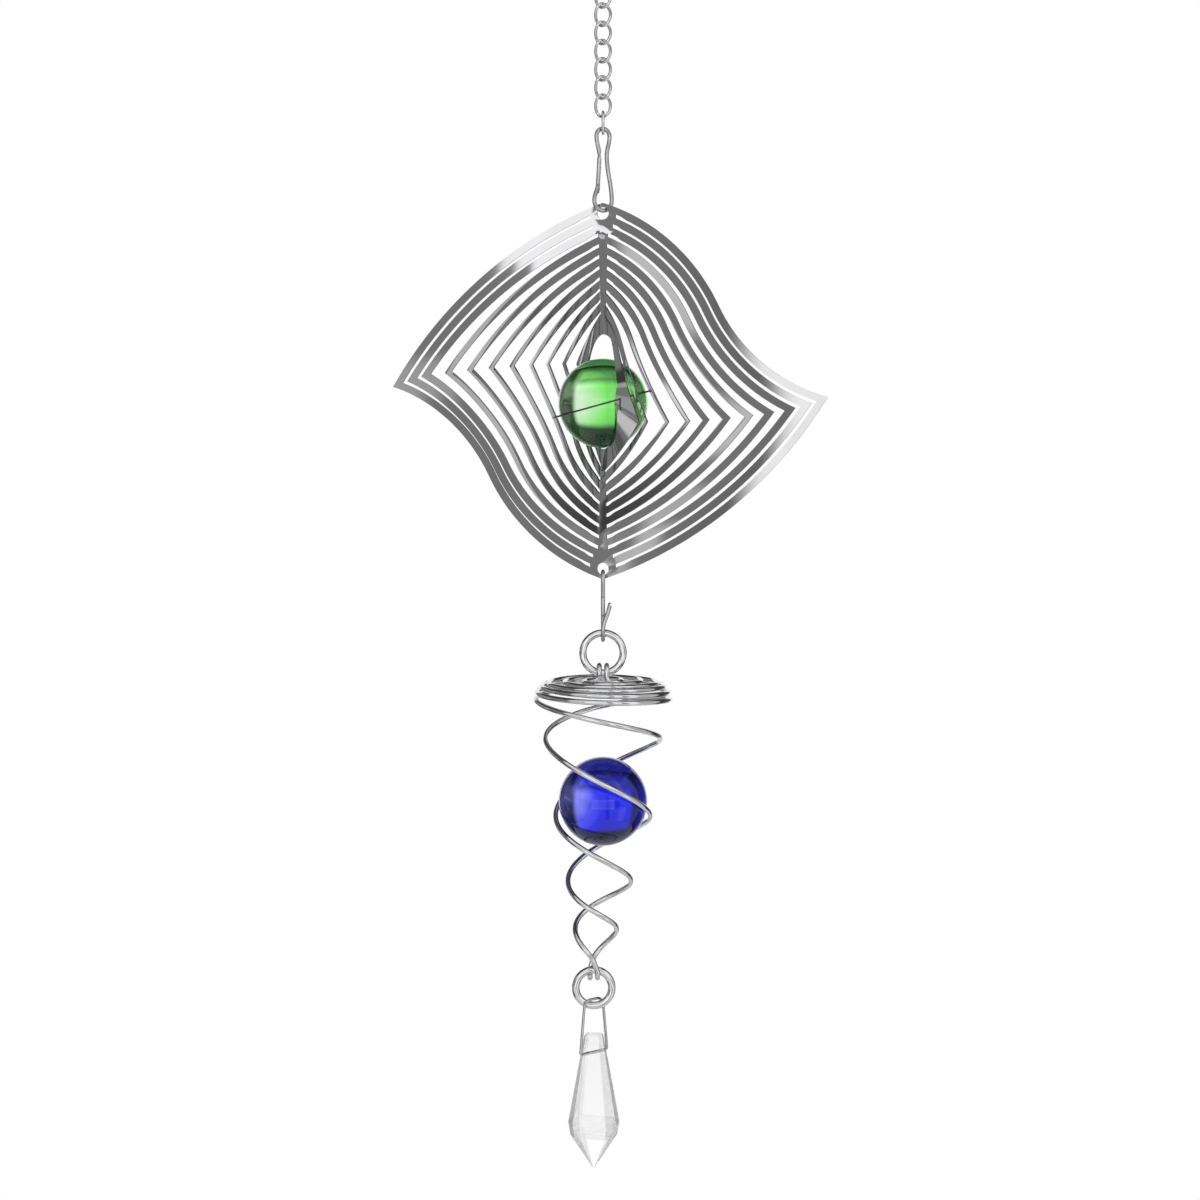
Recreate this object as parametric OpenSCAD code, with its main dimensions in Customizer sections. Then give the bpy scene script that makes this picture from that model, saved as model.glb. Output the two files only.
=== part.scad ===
// Hanging wind spinner: hook and swivel, curb chain, two snap clips, a ringed sheet round a glass ball,
// a coiled tail with a second ball, and a crystal drop. Millimetres; +Z up, the front faces -Y.
// The origin is the point inside the hook where it bears on what it hangs from.

/* [Hook and swivel] */
// Diameter of the hook's wire
hook_wire = 2; // [1.6:0.1:2.4]
// Inside radius of the hook
hook_inside_r = 6.5; // [5:0.1:9]
// Where the hook's tip ends, counted from the side
hook_tip_angle = 205; // [195:1:215]
// Diameter of the ball on the hook's tip
hook_tip_d = 2.6; // [2.5:0.1:3]
// Radius of the bend between shank and hook
hook_neck_r = 4; // [3:0.1:6]
// Bare shank above the swivel
shank_gap = 1.8; // [1:0.1:4]
// Radial running clearance of the shank in the swivel
shank_clear = 0.05; // [0.02:0.01:0.1]
// Diameter of the riveted head under the swivel
rivet_d = 3; // [2.6:0.1:3.2]
// Height of the riveted head
rivet_h = 0.9; // [0.6:0.1:1.1]
// Diameter of the swivel's boss
boss_d = 4.6; // [4:0.1:6]
// Height of the swivel's boss
boss_h = 4.3; // [3:0.1:6]
// Radius of the swivel's bow, at the middle of its wire
bow_r = 3.6; // [3.4:0.1:5]
// Diameter of the bow's wire
bow_wire = 1.4; // [1.2:0.1:1.8]

/* [Chain] */
// Diameter of the chain's wire
link_wire = 0.85; // [0.7:0.01:0.95]
// Outer width of a link
link_w = 4.95; // [4.6:0.05:5.6]
// Outer length of a link
link_l = 6.85; // [6.6:0.05:8]
// How far a link's sides lean out of its plane
link_lean = 1; // [0.8:0.05:1.2]
// Outer length of the plain ring that ends the chain
end_ring_l = 6.85; // [6.4:0.05:8]
// Gap between two wires that hang in each other
wire_gap = 0.15; // [0.1:0.01:0.2]
// Gap between the chain's plain end ring and the wires it links
end_gap = 0.4; // [0.35:0.01:0.45]

/* [Snap clips] */
// Diameter of the clips' spring wire
clip_wire = 1.2; // [1:0.05:1.3]
// Height of the upper clip
upper_clip_h = 23.8; // [22:0.1:28]
// Height of the lower clip
lower_clip_h = 20.5; // [19:0.1:26]
// Outer width of a clip's top loop
clip_top_w = 5.4; // [5:0.1:6.5]
// Outer width of a clip's waist
clip_waist_w = 3.6; // [3.2:0.1:4]
// Outer width of a clip's bottom loop
clip_bottom_w = 6.8; // [6.4:0.1:8]
// Depth of the waist below the clip's top
clip_waist_drop = 8; // [7:0.1:9]
// Height of the latch's free end above the upper clip's foot
upper_latch_rise = 7.6; // [7:0.1:9]
// Height of the latch's free end above the lower clip's foot
lower_latch_rise = 11.4; // [11:0.1:11.8]
// How far the latch's free end flares out of the clip's plane
latch_flare = 1.9; // [1.7:0.1:2.6]
// How far the upper gate reaches down past the latch's free end
upper_gate_reach = 2.3; // [1.5:0.1:2.6]
// How far the lower gate reaches down past the latch's free end
lower_gate_reach = 4; // [3.4:0.1:4.2]
// Gap left where the gate bends off the frame
gate_gap = 0.25; // [0.2:0.01:0.4]
// Turn of the upper clip about the vertical
upper_clip_turn = 30; // [28:1:40]
// Turn of the lower clip about the vertical
lower_clip_turn = 90; // [80:1:100]

/* [Spinner sheet] */
// Thickness of the sheet
sheet_t = 0.5; // [0.4:0.05:0.6]
// Half the sheet's height
sheet_half_h = 52.5; // [51:0.5:54]
// Half the sheet's flat width
sheet_half_w = 63.75; // [62:0.25:66]
// Height of the side tip over the sheet's middle
tip_rise = 1.6; // [1:0.1:2.5]
// Radius of the long bowed edge
long_edge_r = 121.8; // [115:0.1:135]
// Radius of the hollow stretch of the S-shaped edge
hollow_r = 47.6; // [45:0.1:51]
// Radius of the round stretch of the S-shaped edge
round_r = 55.9; // [53:0.1:58]
// Slope of the S-shaped edge where it meets the spine
apex_slope = 17.9; // [17:0.1:19]
// Step from one ring to the next
ring_pitch = 2.79; // [2.7:0.01:2.82]
// Width of a ring's band
band_w = 1.86; // [1.7:0.01:1.95]
// Width of the necks that join the rings on the spine
neck_w = 2.3; // [2:0.1:2.8]
// How much wider the outermost neck is than the hole in it
land_w = 4; // [3.6:0.1:4.4]
// How much wider the second neck is than the hole
land_2_w = 2.2; // [2:0.1:2.4]
// Diameter of the holes for the clips
hole_d = 3.4; // [3.2:0.1:3.7]
// Distance from the sheet's point to the middle of its hole
hole_inset = 2.95; // [2.9:0.05:3.3]
// Gap between a clip's wire and the edge it carries
seat_gap = 0.35; // [0.3:0.01:0.45]
// Turn of the outer ring about the vertical
sheet_turn = 17; // [12:1:22]
// Further turn from ring to ring, on the outer three rings
outer_step = 1.5; // [1:0.1:2.5]
// Further turn from ring to ring, on the others
ring_step = 6.25; // [5:0.05:6.6]
// Radius of the arch of the middle opening
arch_r = 13; // [12.8:0.1:14]

/* [Glass balls] */
// Diameter of the green ball in the spinner
green_ball_d = 25; // [24:0.1:25.4]
// Diameter of the blue ball in the tail
blue_ball_d = 25; // [24:0.1:25.6]
// Depth of the green ball's middle below the sheet's middle
ball_low = 3.2; // [2.8:0.1:3.4]
// Clearance between the green ball and the sheet
ball_clear = 0.3; // [0.2:0.01:0.4]
// Width of the inner rings where they bow round the ball
bulge_w = 1.1; // [0.8:0.05:1.2]
// Diameter of the wire that keeps the green ball
keeper_wire = 0.5; // [0.4:0.05:0.6]
// Gap between the keeper wire and the sheet it runs through
keeper_gap = 0.35; // [0.3:0.01:0.4]
// Slope of the keeper wire, lower on the left
keeper_tilt = 15.5; // [12:0.1:18]
// Depth of the keeper wire below the ball's middle
keeper_drop = 0.2; // [0:0.1:0.5]
// How far the keeper wire wraps round the ball, by the front, from its right end
keeper_wrap = 240; // [230:1:242]

/* [Tail] */
// Outer diameter of the tail's top ring
top_ring_d = 13.4; // [12:0.1:15]
// Diameter of the top ring's wire
top_ring_wire = 2.1; // [1.8:0.05:2.2]
// Outer diameter of the tail's bottom ring
bottom_ring_d = 12.4; // [12:0.1:14]
// Diameter of the bottom ring's wire
bottom_ring_wire = 2.2; // [1.8:0.05:2.3]
// Diameter of the tail's wires
tail_wire = 1.5; // [1.3:0.05:1.5]
// Clearance of the tail's eyes round the rings
eye_clear = 0.3; // [0.25:0.01:0.35]
// Distance of each eye from the tail's axis
eye_side = 1.05; // [1:0.01:1.2]
// Radius of the tail's coil, at the middle of its wire
coil_r = 18.9; // [18.6:0.1:20]
// Depth of the coil's lowest turn below the top ring's foot
coil_drop = 7.35; // [7.3:0.05:8]
// Height of the tail from the top ring's foot to its bottom eye
tail_drop = 84.4; // [83:0.1:88]
// Depth of the blue ball below the top ring's foot
blue_ball_drop = 36.3; // [35.8:0.1:36.8]
// Sideways lean of the tail's lower end
tail_lean = -2.6; // [-3:0.1:0]

/* [Crystal] */
// Diameter of the bail's wire
bail_wire = 0.8; // [0.7:0.05:0.9]
// Height of the bail
bail_h = 15.2; // [14:0.1:18]
// Distance between the bail's legs at the pin
bail_w = 9.8; // [9.4:0.1:10.6]
// Distance between the bail's shoulders
bail_top_w = 6.8; // [6.6:0.1:7.4]
// Turn of the bail about the vertical
bail_turn = 40; // [38:1:50]
// Radial clearance of the bail's pin in the crystal
pin_clear = 0.06; // [0.02:0.01:0.1]
// Height of the crystal above its hole
crystal_head = 5.1; // [4:0.1:6]
// Width of the crystal's flat top
crystal_top_w = 5.2; // [4:0.1:5.6]
// Width of the crystal at its girdle
crystal_w = 14; // [12:0.1:16]
// Depth of the crystal at its girdle, front to back
crystal_d = 11; // [9.5:0.1:13]
// Width of the broad front facet at the girdle
front_facet_w = 9.6; // [8:0.1:11]
// Depth of the narrow side facet at the girdle
side_facet_w = 4; // [3:0.1:6]
// Turn of the crystal about the vertical, its right side nearer the front
crystal_turn = 14; // [5:1:20]
// Depth of the girdle below the hole
girdle_drop = 20; // [16:0.1:22]
// Height of the girdle
girdle_h = 3.7; // [2:0.1:5]
// Depth of the crystal's tip below the hole
crystal_drop_l = 33.4; // [30:0.1:38]

/* [Hidden] */
$fn = 64;

// Levels from the hang point down
hook_mid_r = hook_inside_r + hook_wire / 2;
hook_z = -hook_inside_r;
neck_turn = acos(hook_neck_r / (hook_neck_r + hook_mid_r));
shank_top = hook_z - (hook_neck_r + hook_mid_r) * sin(neck_turn);
boss_top = shank_top - shank_gap;
boss_foot = boss_top - boss_h;
boss_sink = 0.6;
rivet_gap = 0.1;
bow_z = boss_foot - (bow_r - bow_wire / 2) + boss_sink;
link_b = (link_l - link_wire) / 2;
link_a = (link_w - link_wire) / 2;
link_pitch = 2 * link_b - link_wire - wire_gap;
links = 8;
link_z = bow_z - bow_r + (bow_wire + link_wire) / 2 + wire_gap - link_b;
last_foot = link_z - (links - 1) * link_pitch - link_b;
end_b = (end_ring_l - link_wire) / 2;
end_z = last_foot + link_wire + end_gap - end_b;
upper_top = end_z - end_b + (link_wire + clip_wire) / 2 + end_gap;
upper_foot = upper_top - (upper_clip_h - clip_wire);
seat = clip_wire / 2 + seat_gap;
hole_z = sheet_half_h - hole_inset;
sheet_z = upper_foot + seat - hole_d / 2 - hole_z;
lower_top = sheet_z - hole_z - hole_d / 2 + seat;
lower_foot = lower_top - (lower_clip_h - clip_wire);
top_ring_r = (top_ring_d - top_ring_wire) / 2;
top_ring_z = lower_foot + (clip_wire + top_ring_wire) / 2 + seat_gap - top_ring_r;
tail_z = top_ring_z - top_ring_r;
eye_z = tail_z - tail_drop;
bottom_ring_r = (bottom_ring_d - bottom_ring_wire) / 2;
bottom_ring_z = eye_z - bottom_ring_r;
bail_top = bottom_ring_z - bottom_ring_r + (bottom_ring_wire + bail_wire) / 2 + seat_gap;
pin_z = bail_top - bail_h;

// The green ball lies on the foot of the spinner's opening
ball_r = green_ball_d / 2;
open_half_h = ball_r + ball_clear + ball_low;
ball_z = -ball_low;
ball_room = ball_r + ball_clear;

function unit(v) = v / norm(v);
function turn_z(p, a) = [p.x * cos(a) - p.y * sin(a), p.x * sin(a) + p.y * cos(a), p.z];
function ease(u) = (1 - cos(180 * u)) / 2;

// Normals carried along an open path without twist
function carried(t, n, i = 0, out = []) = i >= len(t) ? out
    : let (m = unit(n - (n * t[i]) * t[i])) carried(t, m, i + 1, concat(out, [m]));
function tangents(p) = [for (i = [0 : len(p) - 1])
    unit(p[min(i + 1, len(p) - 1)] - p[max(i - 1, 0)])];
function around(p, t, n, r, s) = [for (j = [0 : s - 1])
    p + r * cos(360 * j / s) * n + r * sin(360 * j / s) * cross(t, n)];
function skin(i, k, s) = [for (j = [0 : s - 1]) for (h = [0, 1]) h == 0
    ? [i * s + j, k * s + (j + 1) % s, k * s + j]
    : [i * s + j, i * s + (j + 1) % s, k * s + (j + 1) % s]];

// A round wire along an open path, its ends cut square
module wire(p, d, s, n0) {
    t = tangents(p);
    n = carried(t, n0);
    c = len(p);
    polyhedron(
        [for (i = [0 : c - 1]) each around(p[i], t[i], n[i], d / 2, s)],
        concat([for (i = [0 : c - 2]) each skin(i, i + 1, s)],
            [for (j = [1 : s - 2]) [0, j + 1, j]],
            [for (j = [1 : s - 2]) [(c - 1) * s, (c - 1) * s + j, (c - 1) * s + j + 1]]));
}

// A round wire along a closed oval path round the origin
module loop(p, d, s) {
    c = len(p);
    t = [for (i = [0 : c - 1]) unit(p[(i + 1) % c] - p[(i + c - 1) % c])];
    polyhedron(
        [for (i = [0 : c - 1]) each around(p[i], t[i], unit(p[i] - (p[i] * t[i]) * t[i]), d / 2, s)],
        [for (i = [0 : c - 1]) each skin(i, (i + 1) % c, s)]);
}

// A ring of round wire standing in the XZ plane, from angle a for an angle of w
module round_ring(r, d, a = 0, w = 360) {
    rotate([90, 0, 0]) rotate([0, 0, a]) rotate_extrude(angle = w) translate([r, 0]) circle(d / 2);
}

module rod(p, q, d) {
    v = q - p;
    translate(p) rotate([0, acos(v.z / norm(v)), atan2(v.y, v.x)]) cylinder(h = norm(v), d = d);
}

// Hanging hook: open hook with a ball tip, a neck and a shank with a riveted head. The bends meet in
// small beads.
module hanging_hook() {
    bead = 1.08 * hook_wire;
    part = 0.5;
    color("silver") {
        translate([0, 0, hook_z]) {
            round_ring(hook_mid_r, hook_wire, part - neck_turn, hook_tip_angle + neck_turn - part);
            rotate([0, -hook_tip_angle, 0]) translate([hook_mid_r, 0, 0]) sphere(d = hook_tip_d);
            rotate([0, neck_turn, 0]) translate([hook_mid_r, 0, 0]) sphere(d = bead);
        }
        translate([hook_neck_r, 0, shank_top])
            round_ring(hook_neck_r, hook_wire, 180 - neck_turn + part, neck_turn - 2 * part);
        translate([0, 0, shank_top]) sphere(d = bead);
        translate([0, 0, boss_foot - rivet_gap - rivet_h / 2])
            cylinder(h = shank_top - boss_foot + rivet_gap + rivet_h / 2 - 0.05, d = hook_wire);
        translate([0, 0, boss_foot - rivet_gap - rivet_h]) cylinder(h = rivet_h, d = rivet_d);
    }
}

// Swivel eye: bored boss on a bow that carries the chain
module swivel_eye() {
    color("gainsboro") difference() {
        union() {
            translate([0, 0, boss_foot]) cylinder(h = boss_h, d = boss_d);
            translate([0, 0, bow_z]) rotate([0, 0, -45]) round_ring(bow_r, bow_wire);
        }
        translate([0, 0, boss_foot - 1]) cylinder(h = boss_h + 2, d = hook_wire + 2 * shank_clear);
        translate([0, 0, boss_foot - rivet_h - 2 * rivet_gap])
            cylinder(h = rivet_h + 2 * rivet_gap, d = rivet_d + 2 * rivet_gap);
    }
}

// Curb link: an oval whose sides lean, so that its ends cross those of its neighbours
module chain_link(i) {
    color("lightsteelblue") translate([0, 0, link_z - (i - 1) * link_pitch])
        loop([for (k = [0 : 23]) let (a = 15 * k)
            [link_a * cos(a), link_lean * sin(2 * a), link_b * sin(a)]], link_wire, 8);
}
module chain_link_1() { chain_link(1); }
module chain_link_2() { chain_link(2); }
module chain_link_3() { chain_link(3); }
module chain_link_4() { chain_link(4); }
module chain_link_5() { chain_link(5); }
module chain_link_6() { chain_link(6); }
module chain_link_7() { chain_link(7); }
module chain_link_8() { chain_link(8); }

// Plain oval ring that ends the chain, edge-on to the front
module chain_end_ring() {
    color("lightsteelblue") translate([0, 0, end_z])
        loop([for (k = [0 : 23]) [0, link_a * cos(15 * k), end_b * sin(15 * k)]], link_wire, 8);
}

// Snap clip, from its top wire's middle down: one bent wire whose left leg is the gate
clip_t = (clip_top_w - clip_wire) / 2;
clip_n = (clip_waist_w - clip_wire) / 2;
clip_b = (clip_bottom_w - clip_wire) / 2;
waist_z = -(clip_waist_drop - clip_wire / 2);
function leg_up(u) = [clip_n + (clip_t - clip_n) * ease(u), 0, waist_z + (-clip_t - waist_z) * u];
function leg_down(u, f) = [clip_n + (clip_b - clip_n) * ease(u), 0,
    waist_z + (f + clip_b - waist_z) * u];
function mirror_x(p) = [-p.x, p.y, p.z];
function latch_z(f, rise) = f - clip_wire / 2 + rise;
function clip_frame(h, rise) = let (f = -(h - clip_wire), e = latch_z(f, rise), k = f + clip_b) concat(
    [for (u = [1 : -0.25 : 0.25]) [-clip_b, -latch_flare * ease(u), k + (e - k) * u]],
    [for (a = [180 : 22.5 : 360]) [clip_b * cos(a), 0, k + clip_b * sin(a)]],
    [for (u = [0.8 : -0.2 : 0.1]) leg_down(u, f)],
    [for (u = [0 : 0.25 : 0.8]) leg_up(u)],
    [for (a = [0 : 22.5 : 180]) [clip_t * cos(a), 0, clip_t * sin(a) - clip_t]],
    [for (u = [0.75 : -0.25 : 0]) mirror_x(leg_up(u))]);
function clip_gate(h, rise, reach) = let (f = -(h - clip_wire), e = latch_z(f, rise) - reach,
        x = clip_b - sqrt(pow(clip_wire + gate_gap, 2) - pow(latch_flare / 2, 2))) concat(
    [for (u = [0 : 0.125 : 1]) [-clip_n - (x - clip_n) * ease(u), 0,
        waist_z - gate_gap + (e - waist_z + gate_gap) * u]]);

module upper_clip_frame() {
    color("slategray") translate([0, 0, upper_top]) rotate([0, 0, upper_clip_turn])
        wire(clip_frame(upper_clip_h, upper_latch_rise), clip_wire, 8, [1, 0, 0]);
}
module upper_clip_gate() {
    color("tomato") translate([0, 0, upper_top]) rotate([0, 0, upper_clip_turn])
        wire(clip_gate(upper_clip_h, upper_latch_rise, upper_gate_reach), clip_wire, 8, [1, 0, 0]);
}
module lower_clip_frame() {
    color("slategray") translate([0, 0, lower_top]) rotate([0, 0, lower_clip_turn])
        wire(clip_frame(lower_clip_h, lower_latch_rise), clip_wire, 8, [1, 0, 0]);
}
module lower_clip_gate() {
    color("tomato") translate([0, 0, lower_top]) rotate([0, 0, lower_clip_turn])
        wire(clip_gate(lower_clip_h, lower_latch_rise, lower_gate_reach), clip_wire, 8, [1, 0, 0]);
}

// Flat pattern of the sheet: a long bowed edge and an S-shaped edge on each side, point-symmetric.
// Each ring's outline is the outer one moved inwards, on arcs about the same middles.
rings = 11;
tip_0 = [-sheet_half_w, tip_rise];
apex_0 = [0, sheet_half_h];
function meet(c, r, k, s, side) = let (v = k - c, d = norm(v), a = (r * r - s * s + d * d) / (2 * d),
    h = sqrt(r * r - a * a), u = v / d) c + a * u + side * h * [-u.y, u.x];
long_c = let (d = apex_0 - tip_0) (tip_0 + apex_0) / 2
    + [d.y, -d.x] / norm(d) * sqrt(pow(long_edge_r, 2) - pow(norm(d) / 2, 2));
round_c = -apex_0 + round_r * [sin(apex_slope), cos(apex_slope)];
hollow_c = meet(round_c, hollow_r + round_r, tip_0, hollow_r, 1);
function angle_of(c, p) = atan2(p.y - c.y, p.x - c.x);
function arc(c, r, a, b, n, first) = [for (i = [first : n]) let (t = a + (b - a) * i / n)
    c + r * [cos(t), sin(t)]];
function long_z(o, x) = long_c.y + sqrt(pow(long_edge_r - o, 2) - pow(x - long_c.x, 2));
function round_z(o, x) = -round_c.y + sqrt(pow(round_r - o, 2) - pow(x + round_c.x, 2));
function side_tip(o) = meet(long_c, long_edge_r - o, hollow_c, hollow_r + o, -1);
function half_outline(o) = let (t = side_tip(o), j = angle_of(round_c, hollow_c)) concat(
    arc(long_c, long_edge_r - o, angle_of(long_c, [0, long_z(o, 0)]), angle_of(long_c, t), 9, 0),
    arc(hollow_c, hollow_r + o, angle_of(hollow_c, t), angle_of(hollow_c, round_c), 6, 1),
    arc(round_c, round_r - o, j, angle_of(round_c, [0, -round_z(o, 0)]), 8, 1));
function outline(o) = let (h = half_outline(o)) concat(h, -h);
function ring_turn(k) = sheet_turn + outer_step * min(k, 2) + ring_step * max(k - 2, 0);

module plate(a, t = sheet_t) {
    rotate([0, 0, -a]) rotate([90, 0, 0]) translate([0, 0, -t / 2])
        linear_extrude(height = t) children();
}
cut_t = 6 * sheet_t;
module disc(a, z, r, t = cut_t) {
    rotate([0, 0, -a]) translate([0, t / 2, z]) rotate([90, 0, 0]) cylinder(h = t, r = r);
}
// Ring k, counted from the outside; the two inner ones bow round the ball
module sheet_ring(k) {
    a = ring_turn(k);
    o = k * ring_pitch;
    if (k < rings - 2) difference() {
        plate(a) polygon(outline(o));
        plate(a, cut_t) polygon(outline(o + band_w));
    } else difference() {
        union() {
            plate(a) polygon(outline(o));
            disc(a, ball_z, ball_room + bulge_w, sheet_t);
        }
        if (k < rings - 1) plate(a, cut_t) polygon(outline(o + band_w));
        else intersection() {
            plate(a, cut_t) polygon(outline(o + band_w));
            disc(a, open_half_h - arch_r, arch_r);
        }
        disc(a, ball_z, ball_room);
    }
}
// Neck k joins ring k to the next one; the outer ones widen into the land round the hole
neck_lap = 0.18 * ring_pitch;
function neck_width(k) = k == 0 ? hole_d + land_w : k == 1 ? hole_d + land_2_w
    : k == 2 ? 1.22 * neck_w : neck_w;
function neck(k) = let (w = neck_width(k) / 2, o = k * ring_pitch + band_w - neck_lap,
        q = (k + 1) * ring_pitch + neck_lap)
    [[-w, long_z(o, -w)], [0, long_z(o, 0)], [w, round_z(o, w)],
    [w, round_z(q, w)], [0, long_z(q, 0)], [-w, long_z(q, -w)]];

module spinner_sheet() {
    color("lightgray") translate([0, 0, sheet_z]) difference() {
        union() {
            for (k = [0 : rings - 1]) sheet_ring(k);
            for (k = [0 : rings - 2]) {
                a = (ring_turn(k) + ring_turn(k + 1)) / 2;
                plate(a) polygon(neck(k));
                plate(a) polygon(-neck(k));
            }
        }
        for (s = [-1, 1]) disc(ring_turn(0.5), s * hole_z, hole_d / 2, 2 * cut_t);
        translate([0, 0, ball_z]) keeper_run(keeper_wire + 2 * keeper_gap);
    }
}

// Keeper wire: a tilted open loop round the ball's front and left, through a hole in the inner ring
keeper_r = sqrt(pow(ball_room + bulge_w, 2) - pow(1.71 * keeper_drop, 2)) + keeper_gap + keeper_wire / 2;
module keeper_run(w) {
    translate([0, 0, -keeper_drop]) rotate([0, -keeper_tilt, 0])
        rotate([0, 0, -keeper_wrap]) rotate_extrude(angle = keeper_wrap)
            translate([keeper_r, 0]) circle(w / 2);
}
module ball_keeper_wire() {
    color("dimgray") translate([0, 0, sheet_z + ball_z]) keeper_run(keeper_wire);
}

module green_ball() {
    color("limegreen") translate([0, 0, sheet_z + ball_z]) sphere(d = green_ball_d);
}

// Tail: two equal wires half a turn apart. Along each, n counts half turns from the coil's lowest turn;
// the radius and the depth below the top ring's foot run smoothly through the values listed.
module tail_top_ring() {
    color("silver") translate([0, 0, top_ring_z]) round_ring(top_ring_r, top_ring_wire);
}
turn_r = coil_r * [0.265, 0.561, 0.799, 0.907, 0.979, 1, 0.857, 0.704, 0.466, 0.302, -0.048];
turn_drop = concat([for (w = [3.3, 3.28, 3.03, 2.47, 1.4, 0]) coil_drop - w * tail_wire],
    [for (h = [0.222, 0.485, 0.706, 0.872, 1.06]) h * tail_drop]);
first_n = -5;
function slope(l, i) = i <= 0 ? l[1] - l[0] : i >= len(l) - 1 ? l[i] - l[i - 1]
    : let (a = l[i] - l[i - 1], b = l[i + 1] - l[i]) a * b > 0 ? 2 * a * b / (a + b) : 0;
function smooth(l, x) = let (i = max(0, min(len(l) - 2, floor(x))), u = x - i,
    v = l[i + 1] - l[i], p = slope(l, i), q = slope(l, i + 1))
    l[i] + u * (p + u * (3 * v - 2 * p - q + u * (p + q - 2 * v)));
function turn_at(n) = let (r = smooth(turn_r, n - first_n), a = 180 + 180 * n)
    [r * cos(a), r * sin(a), -smooth(turn_drop, n - first_n)];
function lean_at(n) = tail_lean * max(0, n - 2) / 2.5;
top_eye_r = (top_ring_wire + tail_wire) / 2 + eye_clear;
low_eye_r = (bottom_ring_wire + tail_wire) / 2 + eye_clear;
top_eye_z = top_ring_r - sqrt(pow(top_ring_r, 2) - pow(eye_side, 2));
low_eye_z = sqrt(pow(bottom_ring_r, 2) - pow(eye_side, 2)) - bottom_ring_r - tail_drop;
bend_r = tail_wire;
spiral_from = -5.15;
spiral_to = 4.5;
function tail_path(side) = concat(
    [turn_z([eye_side, top_eye_r, top_eye_z - tail_wire], side)],
    [for (a = [-90 : 30 : 90])
        turn_z([eye_side, -top_eye_r * sin(a), top_eye_z + top_eye_r * cos(a)], side)],
    [for (a = [0 : 30 : 90]) turn_z([eye_side + bend_r * (1 - cos(a)), -top_eye_r - a / 900,
        turn_at(spiral_from).z + bend_r * (1 - sin(a))], side)],
    [for (i = [0 : 115]) let (n = spiral_from + (spiral_to - spiral_from) * i / 115)
        turn_z(turn_at(n), side) + [lean_at(n), 0, 0]],
    [for (a = [90 : 30 : 270]) turn_z([eye_side, -low_eye_r * sin(a), low_eye_r * cos(a)], side)
        + [tail_lean, 0, low_eye_z]]);
// Least gap between parts of a wire that lie more than w points apart, and between the two wires
function self_gap(p, d, w) = min([for (i = [0 : len(p) - 1 - w]) for (j = [i + w : len(p) - 1])
    norm(p[i] - p[j])]) - d;
function pair_gap(p, q, d) = min([for (a = p) for (b = q) norm(a - b)]) - d;
module tail_wire_a() {
    echo(tail_gap_to_itself = self_gap(tail_path(0), tail_wire, 9),
        tail_gap_to_other = pair_gap(tail_path(0), tail_path(180), tail_wire));
    color("darkgray") translate([0, 0, tail_z]) wire(tail_path(0), tail_wire, 6, [1, 0, 0]);
}
module tail_wire_b() {
    color("darkgray") translate([0, 0, tail_z]) wire(tail_path(180), tail_wire, 6, [1, 0, 0]);
}

module blue_ball() {
    color("royalblue") translate([0, 0, tail_z - blue_ball_drop]) sphere(d = blue_ball_d);
}

module tail_bottom_ring() {
    color("silver") translate([tail_lean, 0, bottom_ring_z]) round_ring(bottom_ring_r, bottom_ring_wire);
}

// Bail: a wire over the bottom ring whose ends meet as the crystal's pin
bail_half = bail_w / 2;
bail_path = [[0, 0, bail_top], [0.294 * bail_top_w, 0, bail_top],
    [bail_top_w / 2, 0, bail_top - 1.5 * bail_wire],
    [bail_half, 0, pin_z], [0, 0, pin_z]];
module crystal_bail() {
    color("gray") translate([tail_lean, 0, 0]) rotate([0, 0, bail_turn]) {
        for (m = [0, 1]) mirror([m, 0, 0]) {
            for (i = [1 : 2]) rod(bail_path[i], bail_path[i + 1], bail_wire);
            for (i = [1 : 3]) translate(bail_path[i]) sphere(d = 1.1 * bail_wire);
        }
        rod(mirror_x(bail_path[1]), bail_path[1], bail_wire);
        rod(mirror_x(bail_path[3]), bail_path[3], bail_wire);
    }
}

// Crystal: eight-sided drop with broad front and back facets, hung on the bail's pin
crystal_levels = [[-crystal_drop_l, 0.03], [-girdle_drop - girdle_h, 0.914], [-girdle_drop, 1],
    [crystal_head, crystal_top_w / crystal_w]];
girdle = let (w = crystal_w / 2, d = crystal_d / 2, f = front_facet_w / 2, e = side_facet_w / 2)
    [[w, e], [f, d], [-f, d], [-w, e], [-w, -e], [-f, -d], [f, -d], [w, -e]];
module crystal_body() {
    polyhedron([for (l = crystal_levels) for (p = girdle) [p.x * l[1], p.y * l[1], l[0]]],
        concat([[0, 1, 2, 3, 4, 5, 6, 7]], [[31, 30, 29, 28, 27, 26, 25, 24]],
            [for (i = [0 : 2]) for (j = [0 : 7]) let (k = (j + 1) % 8)
                [8 * i + j, 8 * i + 8 + j, 8 * i + 8 + k, 8 * i + k]]));
}
module crystal_drop() {
    color("lightcyan") translate([tail_lean, 0, pin_z]) difference() {
        rotate([0, 0, -crystal_turn]) crystal_body();
        rotate([0, 0, bail_turn]) rod([-bail_half, 0, 0], [bail_half, 0, 0], bail_wire + 2 * pin_clear);
    }
}

hanging_hook();
swivel_eye();
chain_link_1();
chain_link_2();
chain_link_3();
chain_link_4();
chain_link_5();
chain_link_6();
chain_link_7();
chain_link_8();
chain_end_ring();
upper_clip_frame();
upper_clip_gate();
spinner_sheet();
ball_keeper_wire();
green_ball();
lower_clip_frame();
lower_clip_gate();
tail_top_ring();
tail_wire_a();
tail_wire_b();
blue_ball();
tail_bottom_ring();
crystal_bail();
crystal_drop();
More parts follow.
